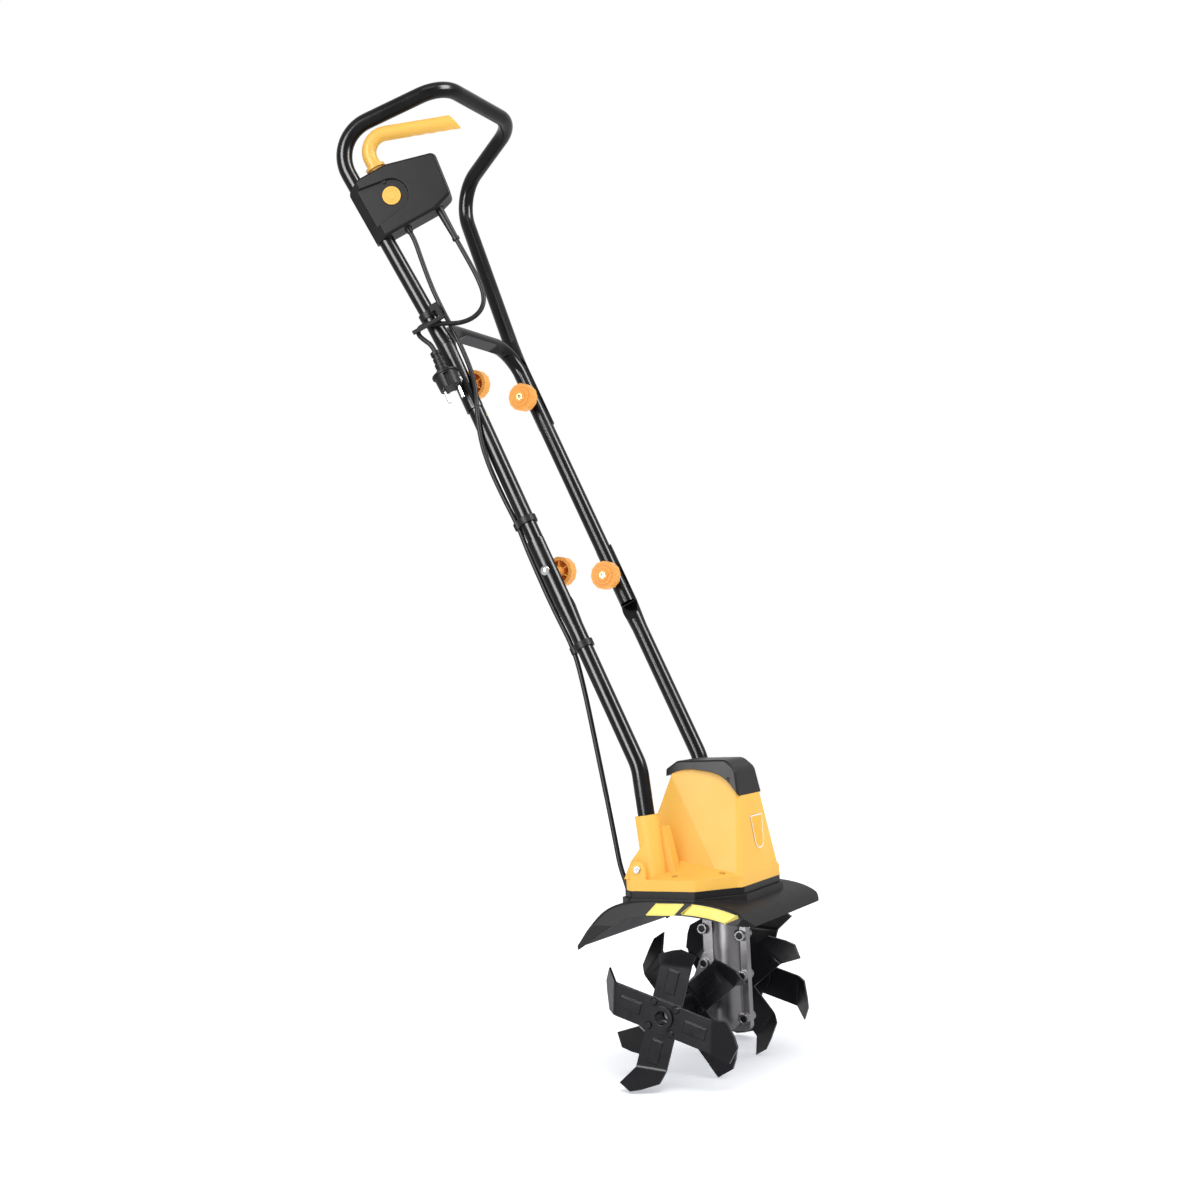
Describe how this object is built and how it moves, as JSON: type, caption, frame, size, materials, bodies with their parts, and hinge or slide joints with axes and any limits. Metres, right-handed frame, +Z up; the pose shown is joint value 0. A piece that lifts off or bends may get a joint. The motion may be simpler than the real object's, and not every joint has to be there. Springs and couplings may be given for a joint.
{
  "type": "electric tiller",
  "caption": "Upright electric garden tiller with a folding tube handle, lever switch, motor housing, guard and bent tine stars on a worm-driven shaft.",
  "frame": {"origin": "centre of the machine's outline without its mains lead, on the level of the lowest tine tip", "axes": "+X along the tine axle to the machine's left, +Y to the rear where the handle leans, +Z up"},
  "size_m": [0.347, 0.5413, 1.3434],
  "materials": {
    "black_tube": "semi-gloss powder coat",
    "black_plastic": "fine-grained moulding",
    "dark_plastic": "fine-grained moulding",
    "rubber": "matte",
    "steel": "bright zinc plated",
    "spring_steel": "drawn wire",
    "brass": "turned",
    "copper": "enamelled wire",
    "tine_steel": "black paint on pressed steel",
    "case_metal": "dark painted casting",
    "gear_steel": "ground",
    "bronze": "cast and cut",
    "laminations": "stacked sheet",
    "carbon": "pressed carbon",
    "grey_plastic": "moulded",
    "amber_plastic": "fine-grained moulding"
  },
  "bodies": {
    "frame": {"base_tray": "black_plastic", "button_spring": "spring_steel", "cable_clips": "black_plastic", "cable_grommet": "rubber", "carbon_brushes": "carbon", "case_screws": "steel", "clamp_bolts": "steel", "cord_hook": "black_plastic", "cover_screws": "steel", "end_frame": "grey_plastic", "gear_case_left": "case_metal", "gear_case_right": "case_metal", "guard": "black_plastic", "guard_screws": "steel", "lever_spring": "spring_steel", "lower_tube_left": "black_tube", "lower_tube_right": "black_tube", "mains_boot": "rubber", "mains_lead": "rubber", "mains_plug": "black_plastic", "micro_switch": "dark_plastic", "middle_frame": "black_tube", "motor_bearings": "steel", "motor_bracket": "gear_steel", "motor_cable": "rubber", "motor_cover": "amber_plastic", "plug_pins": "steel", "shaft_bushes": "bronze", "shaft_seals": "rubber", "stator": "laminations", "switch_box_back": "black_plastic", "switch_box_front": "black_plastic", "switch_box_screws": "steel", "top_cap": "black_plastic", "tube_screws": "steel", "upper_handle": "black_tube", "worm_bearings": "steel"},
    "tine_rotor": {"tine_shaft": "tine_steel", "worm_wheel": "bronze", "tine_hubs": "tine_steel", "tine_strips": "tine_steel", "tine_rivets": "steel", "hub_pins": "steel"},
    "worm_body": {"worm_shaft": "gear_steel", "spur_gear": "gear_steel"},
    "motor_rotor": {"motor_shaft": "gear_steel", "armature": "laminations", "commutator": "copper", "fan": "grey_plastic"},
    "lever": {"switch_lever": "amber_plastic"},
    "button": {"lock_button": "amber_plastic"},
    "knob_body_lower_right": {"knob_lower_right": "amber_plastic", "knob_nut_lower_right": "brass"},
    "knob_body_lower_left": {"knob_lower_left": "amber_plastic", "knob_nut_lower_left": "brass"},
    "knob_body_upper_right": {"knob_upper_right": "amber_plastic", "knob_nut_upper_right": "brass"},
    "knob_body_upper_left": {"knob_upper_left": "amber_plastic", "knob_nut_upper_left": "brass"}
  },
  "joints": [
    {"name": "tine_spin", "type": "hinge", "parent": "frame", "child": "tine_rotor", "pos_m": [0, -0.1567, 0.08996], "axis": [1, 0, 0], "continuous": true},
    {"name": "worm_spin", "type": "hinge", "parent": "frame", "child": "worm_body", "pos_m": [0, -0.1867, 0.2], "axis": [0, 0, 1], "continuous": true},
    {"name": "motor_spin", "type": "hinge", "parent": "frame", "child": "motor_rotor", "pos_m": [0, -0.1627, 0.3], "axis": [0, 0, 1], "continuous": true},
    {"name": "lever_squeeze", "type": "hinge", "parent": "frame", "child": "lever", "pos_m": [-0.13311, 0.21105, 1.19629], "axis": [-0.892, -0.4521, 0.0005], "range_deg": [0, 7], "stiffness_Nm_per_rad": 1.5, "springref_deg": -11.46, "deforming": ["lever_spring"]},
    {"name": "button_press", "type": "slide", "parent": "frame", "child": "button", "axis": [0.892, 0.4521, -0.0005], "range_m": [0, 0.004], "stiffness_N_per_m": 300, "springref_m": -0.003, "deforming": ["button_spring"]},
    {"name": "knob_turn_lower_right", "type": "hinge", "parent": "frame", "child": "knob_body_lower_right", "pos_m": [-0.097, 0.0017, 0.65296], "axis": [1, 0, 0], "continuous": true},
    {"name": "knob_turn_lower_left", "type": "hinge", "parent": "frame", "child": "knob_body_lower_left", "pos_m": [0.097, 0.0017, 0.65296], "axis": [1, 0, 0], "continuous": true},
    {"name": "knob_turn_upper_right", "type": "hinge", "parent": "frame", "child": "knob_body_upper_right", "pos_m": [-0.097, 0.12186, 0.91909], "axis": [1, 0, 0], "continuous": true},
    {"name": "knob_turn_upper_left", "type": "hinge", "parent": "frame", "child": "knob_body_upper_left", "pos_m": [0.097, 0.12186, 0.91909], "axis": [1, 0, 0], "continuous": true}
  ],
  "couplings": [
    {"joint": "worm_spin", "follows": "tine_spin", "ratio": 13},
    {"joint": "motor_spin", "follows": "tine_spin", "ratio": -39}
  ]
}
